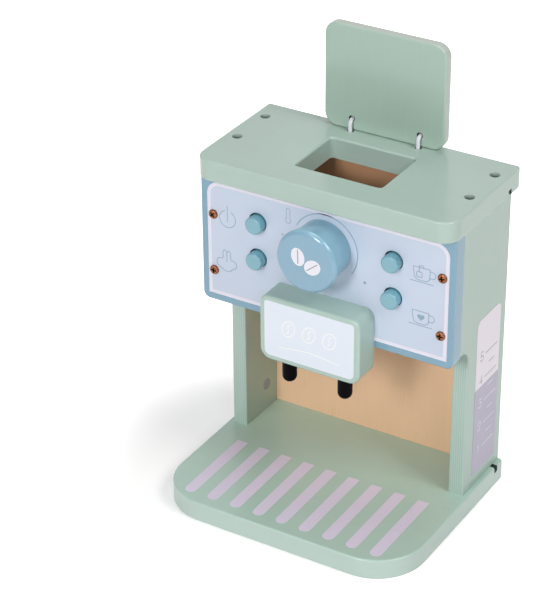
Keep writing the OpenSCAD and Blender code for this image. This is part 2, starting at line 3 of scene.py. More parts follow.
import bmesh
import bpy
import numpy as np
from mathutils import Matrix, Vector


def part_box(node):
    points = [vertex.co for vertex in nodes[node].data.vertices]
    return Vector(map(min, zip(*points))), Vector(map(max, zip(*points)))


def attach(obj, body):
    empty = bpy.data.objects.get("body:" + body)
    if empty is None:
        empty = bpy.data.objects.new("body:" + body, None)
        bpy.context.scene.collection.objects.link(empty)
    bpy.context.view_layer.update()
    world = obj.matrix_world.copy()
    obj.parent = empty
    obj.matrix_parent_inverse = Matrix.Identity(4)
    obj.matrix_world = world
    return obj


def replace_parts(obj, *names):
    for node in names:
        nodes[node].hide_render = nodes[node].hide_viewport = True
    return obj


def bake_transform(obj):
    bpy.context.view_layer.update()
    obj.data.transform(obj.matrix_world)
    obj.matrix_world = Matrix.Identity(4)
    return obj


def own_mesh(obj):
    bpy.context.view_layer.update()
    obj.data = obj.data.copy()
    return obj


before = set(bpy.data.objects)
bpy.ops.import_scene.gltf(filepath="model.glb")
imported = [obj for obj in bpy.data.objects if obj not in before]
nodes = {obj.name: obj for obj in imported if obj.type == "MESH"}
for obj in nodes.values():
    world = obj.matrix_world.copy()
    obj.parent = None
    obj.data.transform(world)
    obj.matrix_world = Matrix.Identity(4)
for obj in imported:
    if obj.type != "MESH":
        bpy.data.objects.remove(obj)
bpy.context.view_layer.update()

# Toy coffee maker: painted boards and turned parts from the frame, with paint, printed
# marks, screws, springs and cords made here. Dictionaries hold millimetres and degrees.
mm = 0.001


def boxOf(node):
    # corners of a CAD node's box
    low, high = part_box(node)
    return np.array(low) / mm, np.array(high) / mm


def middleOf(node):
    low, high = boxOf(node)
    return (low + high) / 2


# camera, stage and lights

camera = {
    "place": (629.3, -1102.0, 885.9),
    "tilt": 59.93,
    "turn": 30.54,
    "lens": 133.91,
    "shiftX": -0.0582,
    "clip": (50, 30000),
}

studio = {
    "tent": 0.06,            # light of the white tent all round
    "floorTone": 0.86,
    "lift": (0.3, 1.0),      # glow of the floor as the camera sees it, near the object and far off
    "liftReach": (105, 215),
    "liftMiddle": (-30, 0, 0),
    "floorSize": 9000,
    "aim": (0, 0, 130),
}

softboxes = {
    "frontLight": {"place": (-20, -2060, 1150), "size": 550, "power": 22},
    "highLight": {"place": (-450, -1560, 1760), "size": 800, "power": 6},
    "glintLight": {"place": (1360, -1510, 1210), "size": 300, "power": 4.5},
    "sideLight": {"place": (1580, -220, 1780), "size": 900, "power": 20},
    "topLight": {"place": (-100, 700, 2400), "size": 1200, "power": 13},
}


def inScene(name, data):
    made = bpy.data.objects.new(name, data)
    bpy.context.scene.collection.objects.link(made)
    return made


def makeCamera():
    lens = bpy.data.cameras.new("camera")
    lens.lens = camera["lens"]
    lens.shift_x = camera["shiftX"]
    lens.clip_start, lens.clip_end = [value * mm for value in camera["clip"]]
    view = inScene("camera", lens)
    view.location = [value * mm for value in camera["place"]]
    view.rotation_euler = (math.radians(camera["tilt"]), 0, math.radians(camera["turn"]))
    bpy.context.scene.camera = view
    bpy.context.scene.view_settings.view_transform = "Standard"


def shade(tree, kind, inputs=None, **settings):
    # one shader node: plain values go into its sockets, other nodes' outputs are linked
    made = tree.nodes.new("ShaderNode" + kind)
    for name, value in settings.items():
        setattr(made, name, value)
    for socket, value in (inputs or {}).items():
        if isinstance(value, bpy.types.NodeSocket):
            tree.links.new(value, made.inputs[socket])
        else:
            made.inputs[socket].default_value = value
    return made


def reckon(tree, operation, *values):
    # result of one Math node
    return shade(tree, "Math", dict(enumerate(values)), operation=operation).outputs[0]


def partsOf(tree, vector):
    # sockets X, Y and Z of a vector
    return shade(tree, "SeparateXYZ", {0: vector}).outputs


def seenDirectly(tree):
    # 1 for rays that show the backdrop itself, 0 for rays that carry light to the object
    path = shade(tree, "LightPath")
    either = reckon(tree, "MAXIMUM", path.outputs["Is Camera Ray"], path.outputs["Is Glossy Ray"])
    return reckon(tree, "MAXIMUM", either, path.outputs["Is Transmission Ray"])


def makeWorld():
    world = bpy.data.worlds.new("tent")
    bpy.context.scene.world = world
    world.use_nodes = True
    tree = world.node_tree
    tree.nodes.clear()
    light = shade(tree, "Background", {"Color": (1, 1, 1, 1), "Strength": studio["tent"]})
    white = shade(tree, "Background", {"Color": (1, 1, 1, 1), "Strength": 1})
    mix = shade(tree, "MixShader", {0: seenDirectly(tree), 1: light.outputs[0], 2: white.outputs[0]})
    shade(tree, "OutputWorld", {"Surface": mix.outputs[0]})


def newMaterial():
    # an empty material, its nodes, and the place on the object that its patterns follow
    material = bpy.data.materials.new("finish")
    material.use_nodes = True
    tree = material.node_tree
    tree.nodes.clear()
    return material, tree, shade(tree, "TexCoord").outputs["Object"]


def makeFloor():
    half = studio["floorSize"] * mm / 2
    mesh = bpy.data.meshes.new("floor")
    mesh.from_pydata([(-half, -half, 0), (half, -half, 0), (half, half, 0), (-half, half, 0)], [],
                     [(0, 1, 2, 3)])
    material, tree, place = newMaterial()
    material.name = "floorWhite"
    tone = studio["floorTone"]
    plain = shade(tree, "BsdfDiffuse", {"Color": (tone, tone, tone, 1)})
    away = shade(tree, "VectorMath", {0: place, 1: [part * mm for part in studio["liftMiddle"]]},
                 operation="DISTANCE").outputs["Value"]
    near, far = studio["liftReach"]
    glow = shade(tree, "MapRange", {"Value": away, "From Min": near * mm, "From Max": far * mm,
                                    "To Min": studio["lift"][0], "To Max": studio["lift"][1]},
                 interpolation_type="SMOOTHSTEP").outputs[0]
    lift = shade(tree, "Emission", {"Color": (1, 1, 1, 1), "Strength": glow})
    lifted = shade(tree, "AddShader", {0: plain.outputs[0], 1: lift.outputs[0]})
    mix = shade(tree, "MixShader", {0: seenDirectly(tree), 1: plain.outputs[0], 2: lifted.outputs[0]})
    shade(tree, "OutputMaterial", {"Surface": mix.outputs[0]})
    mesh.materials.append(material)
    floor = inScene("floor", mesh)


def makeSoftbox(name):
    # a square lamp, tilted and turned so that its own down axis points at the aim
    look = softboxes[name]
    lamp = bpy.data.lights.new(name, "AREA")
    lamp.shape = "SQUARE"
    lamp.size = look["size"] * mm
    lamp.energy = look["power"]
    box = inScene(name, lamp)
    spot = np.array(look["place"], float) * mm
    aim = np.array(studio["aim"], float) * mm - spot
    box.location = spot
    box.rotation_euler = (math.atan2(math.hypot(aim[0], aim[1]), -aim[2]), 0,
                          math.atan2(-aim[0], aim[1]))


makeCamera()
makeWorld()
makeFloor()
for name in softboxes:
    makeSoftbox(name)
print("studio ready")


# paints and other finishes

def colour(code):
    # hex code of a paint as linear light
    part = np.array([int(code[i:i + 2], 16) for i in (1, 3, 5)]) / 255
    linear = np.where(part <= 0.04045, part / 12.92, ((part + 0.055) / 1.055) ** 2.4)
    return (*linear.tolist(), 1)


def noise(tree, place, scale, detail=3, stretch=(1, 1, 1)):
    # cloudy pattern with `scale` waves per metre, drawn out where stretch is small
    mapped = shade(tree, "Mapping", {"Vector": place, "Scale": stretch}).outputs[0]
    return shade(tree, "TexNoise", {"Vector": mapped, "Scale": scale, "Detail": detail,
                                    "Roughness": 0.55}).outputs["Fac"]


def alongGrain(grain, draw):
    # stretch that draws a pattern out along one axis
    return [draw if axis == grain else 1.0 for axis in "xyz"]


def between(tree, value, low, high, first=0.25, last=0.75):
    # low where value is first, high where it is last; a noise stays mostly inside 0.25 to 0.75
    return shade(tree, "MapRange", {"Value": value, "From Min": first, "From Max": last,
                                    "To Min": low, "To Max": high}).outputs[0]


def tinted(tree, value, dark, light):
    # dark where value is 0, light where it is 1
    return shade(tree, "Mix", {"Factor": value, 6: dark, 7: light}, data_type="RGBA").outputs[2]


def scaled(base, factor):
    return (*(min(1, part * factor) for part in base[:3]), 1)


def mottled(tree, pattern, code, dark, light):
    # a paint's colour times dark to times light, as the pattern rises
    base = colour(code)
    return tinted(tree, between(tree, pattern, 0, 1), scaled(base, dark), scaled(base, light))


def relief(tree, height, depth, under=None):
    # bump of a depth in millimetres, on top of another one
    inputs = {"Height": height, "Distance": depth * mm, "Strength": 1}
    if under is not None:
        inputs["Normal"] = under
    return shade(tree, "Bump", inputs).outputs[0]


def surface(tree, base, rough, normal, **more):
    inputs = {"Base Color": base, "Roughness": rough, "Normal": normal, **more}
    body = shade(tree, "BsdfPrincipled", inputs)
    shade(tree, "OutputMaterial", {"Surface": body.outputs[0]})


def within(tree, value, first, last, fade=0.01):
    # 1 where value lies between first and last, 0 elsewhere; it comes in over `fade` below last
    after = reckon(tree, "GREATER_THAN", value, first * mm)
    before = between(tree, value, 0, 1, last * mm, (last - fade) * mm)
    return reckon(tree, "MULTIPLY", after, before)


def inBores(tree, place, bores):
    # 1 on the walls of bores that stand in a rectangle, 0 elsewhere: the distance to the nearest
    # bore's axis is the length of (|u - u0| - du, |v - v0| - dv), from the middle of them all
    spot = partsOf(tree, place)
    sides = []
    for axis in "XYZ".replace(bores["along"], ""):
        low, high = bores[axis]
        offset = reckon(tree, "SUBTRACT", spot[axis], (low + high) / 2 * mm)
        even = reckon(tree, "ABSOLUTE", offset)
        sides.append(reckon(tree, "SUBTRACT", even, (high - low) / 2 * mm))
    across = shade(tree, "CombineXYZ", {0: sides[0], 1: sides[1]}).outputs[0]
    away = shade(tree, "VectorMath", {0: across}, operation="LENGTH").outputs["Value"]
    near = reckon(tree, "LESS_THAN", away, bores["reach"] * mm)
    deep = within(tree, spot[bores["along"]], *bores["depth"], bores["fade"])
    return reckon(tree, "MULTIPLY", near, deep)


def inGroove(tree, place, groove):
    # 1 on the walls of a groove sawn along x, 0 elsewhere
    spot = partsOf(tree, place)
    return reckon(tree, "MULTIPLY", within(tree, spot["Y"], *groove["Y"]),
                  within(tree, spot["Z"], *groove["Z"]))


paintLook = {
    "clouds": 22,            # patches of tone in a metre
    "grain": 420,
    "grainDraw": 0.05,       # how far the grain is drawn out along the board
    "grainShare": 0.45,      # of the grain in the tone
    "tones": (0.965, 1.035),
    "stipple": 1500,
    "stippleDepth": 0.004,
    "grainDepth": 0.03,
    "roughSpread": 0.05,
    "paintedLightFacing": (0.75, 0.3),   # how squarely a face looks along the axis: painted light tone none, full
}


def paintedWood(code, grain, rough=0.2, streak=0.5, gloss=0.5, bores=None, rim=None, groove=None):
    # satin paint rolled on a board: cloudy tone, grain that shows faintly through, fine stipple;
    # rim = (axis, code) is a painted light tone on faces that look away from that axis, and the
    # walls of bores and of a groove get dark tones as painted shade
    material, tree, place = newMaterial()
    look = paintLook
    clouds = noise(tree, place, look["clouds"])
    grainLines = noise(tree, place, look["grain"], 5, alongGrain(grain, look["grainDraw"]))
    stipple = noise(tree, place, look["stipple"], 2)
    tone = shade(tree, "Mix", {"Factor": look["grainShare"], "A": clouds, "B": grainLines})
    paint = mottled(tree, tone.outputs[0], code, *look["tones"])
    # painted light: faces that look away from the axis take a lighter or paler tone
    if rim:
        facing = partsOf(tree, shade(tree, "TexCoord").outputs["Normal"])
        ahead = reckon(tree, "ABSOLUTE", facing[rim[0]])
        share = between(tree, ahead, 0, 1, *look["paintedLightFacing"])
        paint = tinted(tree, share, paint, colour(rim[1]))
    # painted shade: dark tones on the walls of bores and of a groove
    if bores:
        paint = tinted(tree, inBores(tree, place, bores), paint, colour(bores["code"]))
    if groove:
        paint = tinted(tree, inGroove(tree, place, groove), paint, colour(groove["code"]))
    coat = relief(tree, stipple, look["stippleDepth"])
    coat = relief(tree, grainLines, look["grainDepth"] * streak, coat)
    patchy = look["roughSpread"]
    surface(tree, paint, between(tree, clouds, rough - patchy, rough + patchy), coat,
            **{"Specular IOR Level": gloss})
    return material


plyLook = {
    "layer": 1.6,            # thickness of one ply
    "wobble": 0.4,
    "fibres": 500,
    "fibreDraw": 0.04,
    "fibreDepth": 0.02,
    "tones": (0.94, 1.1),    # of the paint between the plies and on them
    "ridge": 0.05,
    "rough": (0.29, 0.39),
}


def plyEdge(code):
    # paint over the plies of a board's edge: fine ridges across the board's thickness (x)
    material, tree, place = newMaterial()
    clouds = noise(tree, place, paintLook["clouds"])
    fibres = noise(tree, place, plyLook["fibres"], 4, alongGrain("z", plyLook["fibreDraw"]))
    stipple = noise(tree, place, paintLook["stipple"], 2)
    waves = math.pi / (plyLook["layer"] * mm) / 10      # a wave texture's period is pi / (10 scale)
    plies = shade(tree, "TexWave", {"Vector": place, "Scale": waves, "Distortion": plyLook["wobble"],
                                    "Detail": 2}, bands_direction="X").outputs["Fac"]
    facing = partsOf(tree, shade(tree, "NewGeometry").outputs["True Normal"])
    ahead = reckon(tree, "ABSOLUTE", facing["Y"])
    shown = reckon(tree, "MULTIPLY", plies, ahead)
    tone = shade(tree, "Mix", {"Factor": paintLook["grainShare"], "A": clouds, "B": fibres})
    paint = mottled(tree, tone.outputs[0], code, *paintLook["tones"])
    hollow, ridge = [scaled(colour(code), share) for share in plyLook["tones"]]
    worn = tinted(tree, shown, hollow, ridge)
    worn = tinted(tree, ahead, paint, worn)
    coat = relief(tree, stipple, paintLook["stippleDepth"])
    coat = relief(tree, fibres, plyLook["fibreDepth"], coat)
    coat = relief(tree, shown, plyLook["ridge"], coat)
    surface(tree, worn, between(tree, clouds, *plyLook["rough"]), coat)
    return material


veneerLook = {
    "figure": 26,
    "figureDraw": 0.08,
    "figureTones": (0.95, 1.04),
    "fibres": 900,
    "fibreDraw": 0.0375,
    "fibreTone": 0.9,
    "fibreShare": 0.2,       # how far the fibres reach that tone
    "pores": (0.6, 0.8),     # where in the fibres' pattern pores start and are full
    "poreTone": 0.84,
    "fibreDepth": 0.02,
    "rough": (0.55, 0.66),
}


def bareWood(code, grain, inside=None):
    # sanded plywood face: long figure lines, short dark pores and a warm tone; the inner side
    # of the back sheet above the head's floor can be darkened as painted shade
    material, tree, place = newMaterial()
    look = veneerLook
    figure = noise(tree, place, look["figure"], 4, alongGrain(grain, look["figureDraw"]))
    fibres = noise(tree, place, look["fibres"], 4, alongGrain(grain, look["fibreDraw"]))
    pores = between(tree, fibres, 0, 1, *look["pores"])
    base = colour(code)
    warm = mottled(tree, figure, code, *look["figureTones"])
    share = between(tree, fibres, 0, look["fibreShare"])
    fine = tinted(tree, share, warm, scaled(base, look["fibreTone"]))
    wood = tinted(tree, pores, fine, scaled(base, look["poreTone"]))
    # painted shade: darker inside the head, above its floor and in front of the back sheet's middle
    if inside:
        spot = partsOf(tree, place)
        above = reckon(tree, "GREATER_THAN", spot["Z"], boxOf("head_floor")[1][2] * mm)
        ahead = reckon(tree, "LESS_THAN", spot["Y"], middleOf("back_panel")[1] * mm)
        insideShade = tinted(tree, reckon(tree, "MULTIPLY", above, ahead), (1, 1, 1, 1), colour(inside))
        wood = shade(tree, "Mix", {"Factor": 1, 6: wood, 7: insideShade}, data_type="RGBA",
                     blend_type="MULTIPLY").outputs[2]
    surface(tree, wood, between(tree, figure, *look["rough"]), relief(tree, fibres, look["fibreDepth"]))
    return material


filmLook = {
    "clouds": 14,
    "cloudTones": (0.985, 1.015),
    "waves": 260,            # faint waviness of the board below
    "waveDepth": 0.02,
    "rough": (0.39, 0.45),
    "meeting": 0.1,          # half the width over which two tones meet
}


def printedSheet(code, upper=None):
    # film-covered paper: a very even colour, or two that meet at a level line
    material, tree, place = newMaterial()
    tone = colour(code)
    if upper:
        level = partsOf(tree, place)["Z"]
        half = filmLook["meeting"]
        share = between(tree, level, 0, 1, (scaleSplit - half) * mm, (scaleSplit + half) * mm)
        tone = tinted(tree, share, tone, colour(upper))
    clouds = noise(tree, place, filmLook["clouds"])
    waves = noise(tree, place, filmLook["waves"], 2)
    value = between(tree, clouds, *filmLook["cloudTones"])
    paper = shade(tree, "HueSaturation", {"Color": tone, "Value": value}).outputs[0]
    surface(tree, paper, between(tree, waves, *filmLook["rough"]),
            relief(tree, waves, filmLook["waveDepth"]))
    return material


metalLook = {
    "patches": 700,
    "polish": 0.08,          # how much smoother and duller than the rest the patches are
    "tarnish": 0.1,
    "scratches": 2600,
    "scratchDraw": 0.3,
    "scratchDepth": 0.006,
}


def platedMetal(code, rough=0.3, spread=0.25):
    # plating with duller patches and fine scratches
    material, tree, place = newMaterial()
    patches = noise(tree, place, metalLook["patches"])
    scratches = noise(tree, place, metalLook["scratches"], 3, alongGrain("y", metalLook["scratchDraw"]))
    plate = mottled(tree, patches, code, 1 - spread, 1 + spread)
    uneven = between(tree, patches, rough - metalLook["polish"], rough + metalLook["tarnish"])
    surface(tree, plate, uneven, relief(tree, scratches, metalLook["scratchDepth"]), Metallic=1.0)
    return material


inkLook = {"cover": 900, "tones": (0.96, 1.04), "rough": (0.45, 0.55), "depth": 0.004}


def printedInk(code):
    # ink laid on film: slightly uneven cover
    material, tree, place = newMaterial()
    cover = noise(tree, place, inkLook["cover"])
    ink = mottled(tree, cover, code, *inkLook["tones"])
    surface(tree, ink, between(tree, cover, *inkLook["rough"]), relief(tree, cover, inkLook["depth"]))
    return material


yarnLook = {"threads": 2600, "tones": (0.86, 1.04), "rough": (0.7, 0.9), "depth": 0.05}


def wovenCord(code):
    # covered elastic: soft threads with darker hollows between the strands
    material, tree, place = newMaterial()
    threads = noise(tree, place, yarnLook["threads"], 4)
    yarn = mottled(tree, threads, code, *yarnLook["tones"])
    hollows = relief(tree, threads, yarnLook["depth"])
    surface(tree, yarn, between(tree, threads, *yarnLook["rough"]), hollows,
            **{"Sheen Weight": 0.3, "Sheen Roughness": 0.5})
    return material


scaleSplit = 91.5           # height at which the level label changes tone
sunkHead, panHead = 3.1, 3.3  # head radii of the screws in pockets and of the others

# holes whose walls take painted shade: the axis that they run along, the lowest and highest place
# of their middles on the other two, how far out and how deep the shade reaches and how slowly it comes
# in
upperLeft, lowerRight = middleOf("button_upper_left"), middleOf("button_lower_right")
boardFront, boardBack = np.array(boxOf("front_board"))[:, 1]
buttonBoreShade = {"along": "Y", "X": (upperLeft[0], lowerRight[0]), "Z": (lowerRight[2], upperLeft[2]),
               "reach": 9, "depth": (boardFront + 0.05, boardBack), "fade": 0.01, "code": "#10161b"}

# painted shade on the walls of the lid's cord holes
cordX, cordZ = middleOf("hinge_cord_right")[0], 247.9
lidFront, lidBack = np.array(boxOf("lid"))[:, 1]
cordHoleShade = {"along": "Y", "X": (-cordX, cordX), "Z": (cordZ, cordZ), "reach": 3,
             "depth": (lidFront + 0.3, lidBack - 2), "fade": 0.01, "code": "#2c3834"}

# painted shade in the screw pockets of the top plate, darker towards their floor
plateTop = boxOf("top_plate")[1][2]
pocketLow, pocketHigh = boxOf("top_screws")
pocketShade = {"along": "Z", "X": (pocketLow[0] + sunkHead, pocketHigh[0] - sunkHead),
           "Y": (pocketLow[1] + sunkHead, pocketHigh[1] - sunkHead), "reach": 4.5,
           "depth": (plateTop - 8, plateTop - 0.6), "fade": 3, "code": "#4c5f55"}

# grooves for the back sheet, darkened as painted shade: the tone reaches round the sheet, but not onto
# the boards' faces
grooveGap, grooveSkin, grooveShadeCode = 0.2, 0.3, "#566059"
backLow, backHigh = boxOf("back_panel")
trayTop = boxOf("base_plate")[1][2]
grooveY = (backLow[1] - grooveGap, backHigh[1] + grooveGap)
baseGrooveShade = {"Y": grooveY, "code": grooveShadeCode,
              "Z": (backLow[2] - grooveGap, trayTop - grooveSkin)}
plateGrooveShade = {"Y": grooveY, "code": grooveShadeCode,
               "Z": (boxOf("top_plate")[0][2] + grooveSkin, backHigh[2] + grooveGap)}

# rim tones are painted light: lighter sides of the base, a painted reflection on the lid's edges and
# painted light on the knob's side
finishes = {
    "baseGreen": paintedWood("#b4cfc3", "x", rim=("Z", "#c0d4cb"), groove=baseGrooveShade),
    "plateGreen": paintedWood("#b1c6bc", "x", bores=pocketShade, groove=plateGrooveShade),
    "postGreen": plyEdge("#b0c6bc"),
    "spoutGreen": paintedWood("#b1c8bf", "x"),
    "lidGreen": paintedWood("#aac1b4", "z", bores=cordHoleShade, rim=("Y", "#bcc6bc")),
    "boardBlue": paintedWood("#82a8bd", "x", bores=buttonBoreShade),
    "knobBlue": paintedWood("#78a5bd", "y", rough=0.12, streak=0.08, gloss=1, rim=("Y", "#86b6ca")),
    "buttonTeal": paintedWood("#6ca8b8", "y", rough=0.12, streak=0.08, gloss=1),
    "nozzleBlack": paintedWood("#08070a", "z", rough=0.35, gloss=0.03),
    "backPly": bareWood("#f9cea8", "z", inside="#dfcbbf"),
    "keeperPly": bareWood("#dcb98f", "z"),
    "dowel": bareWood("#dfc197", "y"),
    "panelFilm": printedSheet("#ccd6e7"),
    "labelFilm": printedSheet("#e8eef8"),
    "scaleFilm": printedSheet("#bdb6ca", upper="#f8f0f8"),
    "bronze": platedMetal("#84573e", rough=0.14, spread=0.45),
    "recessShade": platedMetal("#2c1f17", rough=0.4),
    "zinc": platedMetal("#c4c7ca", spread=0.08),
    "plugGrey": paintedWood("#98a2ae", "x"),
    "cordWhite": wovenCord("#e9e8f0"),
    "lineInk": printedInk("#8fa9bf"),
    "paleInk": printedInk("#eae6f3"),
    "badgeInk": printedInk("#fafafd"),
    "beanInk": printedInk("#efeef6"),
    "slitInk": printedInk("#8d8c96"),
    "stripeInk": printedInk("#dfd6ea"),
    "scaleInk": printedInk("#b4aebb"),
}
for name, finish in finishes.items():
    finish.name = name

finishNodes = {
    "baseGreen": ["base_plate"],
    "plateGreen": ["top_plate"],
    "postGreen": ["side_panel_left", "side_panel_right"],
    "spoutGreen": ["spout_block"],
    "lidGreen": ["lid"],
    "boardBlue": ["front_board"],
    "knobBlue": ["knob"],
    "buttonTeal": [node for node in nodes if node.startswith("button_") and "keeper" not in node],
    "nozzleBlack": ["nozzle_left", "nozzle_right"],
    "plugGrey": ["panel_plug"],
    "backPly": ["back_panel", "head_floor"],
    "keeperPly": ["button_keeper_left", "button_keeper_right"],
    "dowel": ["knob_axle"],
    "zinc": ["knob_washer"],
    "panelFilm": ["front_decal"],
    "labelFilm": ["spout_label"],
}

for finish, names in finishNodes.items():
    for node in names:
        nodes[node].material_slots[0].material = finishes[finish]
print("finishes on", sum(map(len, finishNodes.values())), "nodes")


# surfaces worked out on grids

def unit(vectors):
    # each vector over its own length
    return vectors / np.linalg.norm(vectors, axis=-1, keepdims=True)


def fullTurn(count):
    # even angles round a full turn
    return np.arange(count) * 2 * np.pi / count


def gridFaces(rows, cols, rowsClosed=False, colsClosed=False):
    # quads between neighbouring points of a grid; a closed direction runs round to its start
    row = np.arange(rows if rowsClosed else rows - 1)[:, None]
    col = np.arange(cols if colsClosed else cols - 1)[None, :]
    nextRow, nextCol = (row + 1) % rows, (col + 1) % cols
    corners = (row * cols + col, row * cols + nextCol, nextRow * cols + nextCol, nextRow * cols + col)
    return np.stack(np.broadcast_arrays(*corners), axis=-1).reshape(-1, 4)


def patch(points, rowsClosed=False, colsClosed=False):
    # a grid of points as a list of points and the quads between them
    rows, cols = points.shape[:2]
    return points.reshape(-1, 3), gridFaces(rows, cols, rowsClosed, colsClosed)


def makePiece(name, patches, finish, body=None, sharp=40):
    # patches in millimetres become one mesh: doubles merged, faces turned outward
    firsts = np.cumsum([0] + [len(points) for points, quads in patches])
    points = np.concatenate([points for points, quads in patches]) * mm
    quads = np.concatenate([quads + first for (_, quads), first in zip(patches, firsts)])
    mesh = bpy.data.meshes.new(name)
    mesh.from_pydata(points.tolist(), [], quads.tolist())
    work = bmesh.new()
    work.from_mesh(mesh)
    bmesh.ops.remove_doubles(work, verts=work.verts, dist=5e-7)
    bmesh.ops.recalc_face_normals(work, faces=work.faces)
    work.to_mesh(mesh)
    work.free()
    mesh.shade_smooth()
    mesh.set_sharp_from_angle(angle=math.radians(sharp))
    mesh.materials.append(finishes[finish])
    piece = inScene(name, mesh)
    if body:
        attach(piece, body)
    return piece


def rounded(corners, radius, closed=True, steps=7):
    # path through corners, each one cut by an arc: a conic whose weight is the cosine of half
    # the turn, which is exactly a circle where both sides are cut alike; points that fall
    # together are dropped
    corners = np.array(corners, float)
    radius = np.broadcast_to(np.array(radius, float), len(corners))
    inward = unit(np.roll(corners, 1, 0) - corners)
    onward = unit(np.roll(corners, -1, 0) - corners)
    turn = np.pi - np.arccos(np.clip((inward * onward).sum(1), -1, 1))
    cut = (radius * np.tan(turn / 2))[:, None]
    t = np.linspace(0, 1, steps)[None, :, None]
    weight = np.cos(turn / 2)[:, None, None]
    shares = ((1 - t) ** 2, 2 * weight * t * (1 - t), t ** 2)
    ends = ((corners + inward * cut)[:, None], corners[:, None], (corners + onward * cut)[:, None])
    path = sum(share * end for share, end in zip(shares, ends)) / sum(shares)
    path = path.reshape(-1, 2)
    if not closed:
        path = np.vstack([corners[:1], path[steps:-steps], corners[-1:]])
    step = np.linalg.norm(path - np.roll(path, 1, 0), axis=1)
    return path[(step > 1e-4) | (np.arange(len(path)) == 0)]


def through(points, closed=False, steps=8):
    # smooth path through points: each stretch is the Catmull-Rom cubic of its four neighbours
    p = np.array(points, float)
    if closed:
        four = (np.roll(p, 1, 0), p, np.roll(p, -1, 0), np.roll(p, -2, 0))
    else:
        p = np.vstack([2 * p[0] - p[1], p, 2 * p[-1] - p[-2]])
        four = (p[:-3], p[1:-2], p[2:-1], p[3:])
    a, b, c, d = (part[:, None] for part in four)
    t = np.linspace(0, 1, steps, endpoint=False)[None, :, None]
    path = (2 * b + (c - a) * t + (2 * a - 5 * b + 4 * c - d) * t ** 2
            + (3 * b - a - 3 * c + d) * t ** 3) / 2
    path = path.reshape(-1, p.shape[1])
    return path if closed else np.vstack([path, p[-2:-1]])


def arc(middle, radius, first, last, steps=48):
    # middle + radius (cos a, sin a), from the first angle to the last
    angle = np.radians(np.linspace(first, last, steps))
    return np.array(middle) + np.stack([np.cos(angle), np.sin(angle)], axis=1) * np.array(radius)


def tube(path, radius, sides, across, closed=False):
    # round section carried along a path: p + r (cos a * u + sin a * v), u and v square to the
    # path; radius is one number, one for each point, or a table of points by sides
    ahead = np.roll(path, -1, 0) - np.roll(path, 1, 0)
    if not closed:
        ahead[0], ahead[-1] = path[1] - path[0], path[-1] - path[-2]
    ahead = unit(ahead)
    u = unit(np.cross(across, ahead))
    v = np.cross(ahead, u)
    angle = fullTurn(sides)
    ring = np.cos(angle)[:, None] * u[:, None] + np.sin(angle)[:, None] * v[:, None]
    skin = path[:, None] + np.broadcast_to(radius, (len(path), sides))[..., None] * ring
    if closed:
        return patch(skin, True, True)
    caps = [np.repeat(path[end, None, None], sides, 1) for end in (0, -1)]
    return patch(np.concatenate([caps[0], skin, caps[1]]), False, True)


# printed marks: thin skins of ink on a flat face

inkDepth = 0.03             # of the ink above the face, and of its root below


def makeFace(origin, across=(1, 0, 0), up=(0, 0, 1)):
    # a flat face to print on: out is square to across and up
    across, up = np.array(across, float), np.array(up, float)
    return {"origin": np.array(origin, float), "across": across, "up": up, "out": np.cross(across, up)}


def onFace(face, flat, height):
    # origin + x across + y up + height out, for a grid of points
    return (face["origin"] + flat[..., :1] * face["across"] + flat[..., 1:] * face["up"]
            + height[..., None] * face["out"])


def inkLine(face, path, width, closed=False, roundEnds=(True, True)):
    # flat bar along a path: the section at p runs from p - side * half to p + side * half,
    # mitred at bends up to twice its width; at a round end half shrinks with the cosine of 0 to
    # 90 degrees
    path = np.array(path, float)
    ahead = unit(np.roll(path, -1, 0) - path)
    behind = np.roll(ahead, 1, 0)
    if not closed:
        ahead[-1], behind[0] = ahead[-2], ahead[0]
    along = unit(ahead + behind)
    half = width / 2 / np.maximum((along * ahead).sum(1), 0.5)
    if not closed:
        turn = np.radians([90, 65, 40, 20])[:, None]
        narrow = np.cos(turn[:, 0]) * width / 2
        reach = np.sin(turn) * width / 2
        if roundEnds[0]:
            path = np.vstack([path[0] - along[0] * reach, path])
            along = np.vstack([np.repeat(along[:1], len(turn), 0), along])
            half = np.concatenate([narrow, half])
        if roundEnds[1]:
            path = np.vstack([path, path[-1] + along[-1] * reach[::-1]])
            along = np.vstack([along, np.repeat(along[-1:], len(turn), 0)])
            half = np.concatenate([half, narrow[::-1]])
    side = np.stack([-along[:, 1], along[:, 0]], axis=1) * half[:, None]
    section = np.stack([path + side, path - side, path - side, path + side], axis=1)
    height = np.array([inkDepth] * 2 + [-inkDepth] * 2)
    return patch(onFace(face, section, height), closed, True)


def inkFill(face, outline, above=inkDepth, below=inkDepth):
    # filled outline: rows run from the middle out to it, down its rim and back in below
    outline = np.array(outline, float)
    middle = np.broadcast_to(outline.mean(0), outline.shape)
    rows = np.stack([middle, outline, outline, middle])
    height = np.array([above] * 2 + [-below] * 2)[:, None]
    return patch(onFace(face, rows, height), False, True)


def inkDot(face, middle, radius):
    # 24 points, the last one 15 degrees short of the first
    return inkFill(face, arc(middle, radius, 0, 345, 24))


panelLow, panelHigh = boxOf("front_decal")
spoutLow, spoutHigh = boxOf("spout_block")
spoutLabelLow, spoutLabelHigh = boxOf("spout_label")
knobLow, knobMiddle = boxOf("knob")[0], middleOf("knob")
scaleLow, scaleHigh = boxOf("side_label")

panelFace = makeFace((0, panelLow[1], 0))
knobFace = makeFace((knobMiddle[0], knobLow[1], knobMiddle[2]))
spoutFace = makeFace((0, spoutLabelLow[1], 0))
scaleFace = makeFace((scaleHigh[0], 0, 0), across=(0, 1, 0))
trayFace = makeFace((0, 0, trayTop), up=(0, 1, 0))

border = {"width": 2.6, "cornerRadius": 9.5}        # the radius of the sheet's upper corners


